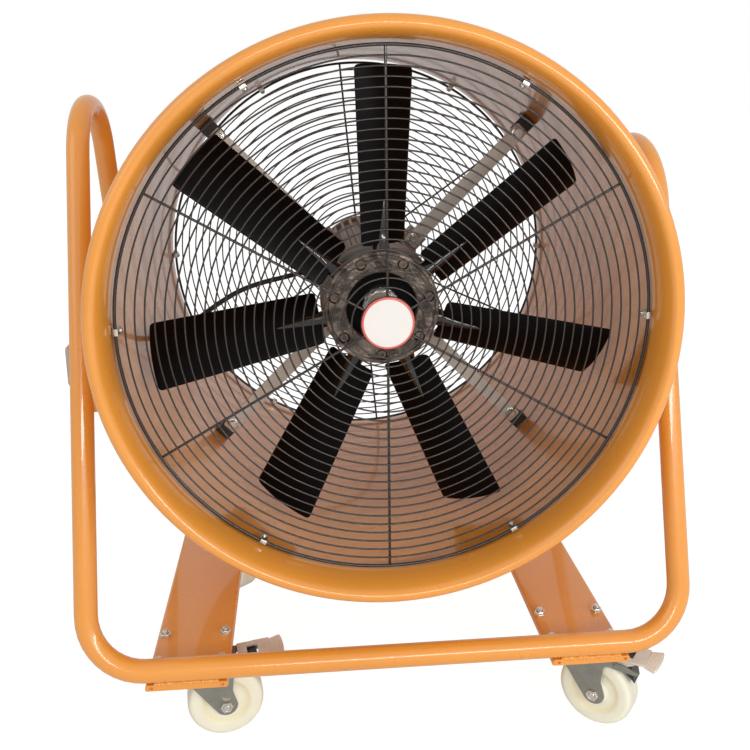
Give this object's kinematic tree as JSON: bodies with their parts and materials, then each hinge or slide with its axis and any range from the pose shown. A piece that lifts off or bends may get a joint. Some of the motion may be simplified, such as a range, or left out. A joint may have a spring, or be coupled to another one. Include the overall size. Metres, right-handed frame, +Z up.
{
  "type": "portable ventilator fan",
  "caption": "Wheeled drum ventilator: an open duct with a bladed impeller behind wire guards, in a bent tube frame with handle loops on swivel casters",
  "frame": {"origin": "on the floor under the middle of the fan's overall size; the drum's axis is 11.9 mm to the right of it, because the control box and its switch reach out on the left", "axes": "+Z up; the drum's axis lies along Y, with the inlet and the front guard toward -Y; +X is to the right seen from the front"},
  "size_m": [0.806, 0.6, 0.913],
  "materials": {
    "orange_paint": "satin orange powder coat",
    "guard_wire": "gloss dark wire coating",
    "black_paint": "satin black paint",
    "blade_paint": "satin black blade coating",
    "cast_hub": "dark cast metal",
    "dark_steel": "oiled dark steel",
    "zinc": "dull zinc plating",
    "bare_steel": "pale flat steel",
    "motor_paint": "dark motor paint",
    "lead_rubber": "black cable sheath",
    "black_plastic": "black moulded plastic",
    "box_plastic": "grey-beige moulded plastic",
    "badge_plastic": "plain white disc",
    "cream_nylon": "cream nylon",
    "pedal_steel": "dull plated steel"
  },
  "bodies": {
    "frame": {"drum_shell": "orange_paint", "front_guard": "guard_wire", "rear_guard": "guard_wire", "guard_badge": "badge_plastic", "guard_clips": "black_paint", "motor_housing": "motor_paint", "motor_end_shields": "motor_paint", "motor_bearings": "zinc", "motor_arms": "bare_steel", "arm_brackets": "black_paint", "arm_bolts": "zinc", "motor_lead": "lead_rubber", "cable_glands": "black_plastic", "frame_bar_front": "orange_paint", "frame_bar_rear": "orange_paint", "drum_lugs": "orange_paint", "caster_bolts": "zinc", "control_box": "box_plastic", "control_box_lid": "box_plastic", "box_bracket": "orange_paint", "frame_leg_front_left": "orange_paint", "frame_leg_rear_left": "orange_paint", "handle_loop_left": "orange_paint", "base_channel_left": "orange_paint", "frame_leg_front_right": "orange_paint", "frame_leg_rear_right": "orange_paint", "handle_loop_right": "orange_paint", "base_channel_right": "orange_paint", "caster_plate_front_left": "zinc", "caster_plate_front_right": "zinc", "caster_plate_rear_left": "zinc", "caster_plate_rear_right": "zinc"},
    "impeller": {"hub_front": "cast_hub", "hub_rear": "cast_hub", "hub_screws": "dark_steel", "hub_cap": "zinc", "motor_shaft": "dark_steel", "blade_1": "blade_paint", "blade_2": "blade_paint", "blade_3": "blade_paint", "blade_4": "blade_paint", "blade_5": "blade_paint", "blade_6": "blade_paint", "blade_7": "blade_paint"},
    "rocker": {"switch_rocker": "black_plastic"},
    "fork_front_left": {"caster_fork_front_left": "zinc", "caster_axle_front_left": "zinc"},
    "wheel_front_left": {"caster_wheel_front_left": "cream_nylon"},
    "pedal_front_left": {"brake_pedal_front_left": "pedal_steel"},
    "fork_front_right": {"caster_fork_front_right": "zinc", "caster_axle_front_right": "zinc"},
    "wheel_front_right": {"caster_wheel_front_right": "cream_nylon"},
    "pedal_front_right": {"brake_pedal_front_right": "pedal_steel"},
    "fork_rear_left": {"caster_fork_rear_left": "zinc", "caster_axle_rear_left": "zinc"},
    "wheel_rear_left": {"caster_wheel_rear_left": "cream_nylon"},
    "fork_rear_right": {"caster_fork_rear_right": "zinc", "caster_axle_rear_right": "zinc"},
    "wheel_rear_right": {"caster_wheel_rear_right": "cream_nylon"}
  },
  "joints": [
    {"name": "impeller_spin", "type": "hinge", "parent": "frame", "child": "impeller", "pos_m": [0.01186, -0.166, 0.573], "axis": [0, 1, 0], "continuous": true},
    {"name": "switch_rock", "type": "hinge", "parent": "frame", "child": "rocker", "pos_m": [-0.39614, -0.045, 0.4865], "axis": [0, 1, 0], "range_deg": [-20, 0]},
    {"name": "swivel_front_left", "type": "hinge", "parent": "frame", "child": "fork_front_left", "pos_m": [-0.24414, -0.204, 0.112], "axis": [0, 0, 1], "continuous": true},
    {"name": "roll_front_left", "type": "hinge", "parent": "fork_front_left", "child": "wheel_front_left", "pos_m": [-0.20661, -0.19806, 0.05], "axis": [-0.1564, 0.9877, 0], "continuous": true},
    {"name": "brake_front_left", "type": "hinge", "parent": "fork_front_left", "child": "pedal_front_left", "pos_m": [-0.18093, -0.19399, 0.1026], "axis": [-0.1564, 0.9877, 0], "range_deg": [0, 12]},
    {"name": "swivel_front_right", "type": "hinge", "parent": "frame", "child": "fork_front_right", "pos_m": [0.26786, -0.204, 0.112], "axis": [0, 0, 1], "continuous": true},
    {"name": "roll_front_right", "type": "hinge", "parent": "fork_front_right", "child": "wheel_front_right", "pos_m": [0.2978, -0.2274, 0.05], "axis": [0.6157, 0.788, 0], "continuous": true},
    {"name": "brake_front_right", "type": "hinge", "parent": "fork_front_right", "child": "pedal_front_right", "pos_m": [0.31829, -0.2434, 0.1026], "axis": [0.6157, 0.788, 0], "range_deg": [0, 12]},
    {"name": "swivel_rear_left", "type": "hinge", "parent": "frame", "child": "fork_rear_left", "pos_m": [-0.24414, 0.196, 0.112], "axis": [0, 0, 1], "continuous": true},
    {"name": "roll_rear_left", "type": "hinge", "parent": "fork_rear_left", "child": "wheel_rear_left", "pos_m": [-0.21971, 0.16689, 0.05], "axis": [0.766, 0.6428, 0], "continuous": true},
    {"name": "swivel_rear_right", "type": "hinge", "parent": "frame", "child": "fork_rear_right", "pos_m": [0.26786, 0.196, 0.112], "axis": [0, 0, 1], "continuous": true},
    {"name": "roll_rear_right", "type": "hinge", "parent": "fork_rear_right", "child": "wheel_rear_right", "pos_m": [0.30357, 0.183, 0.05], "axis": [0.342, 0.9397, 0], "continuous": true}
  ]
}
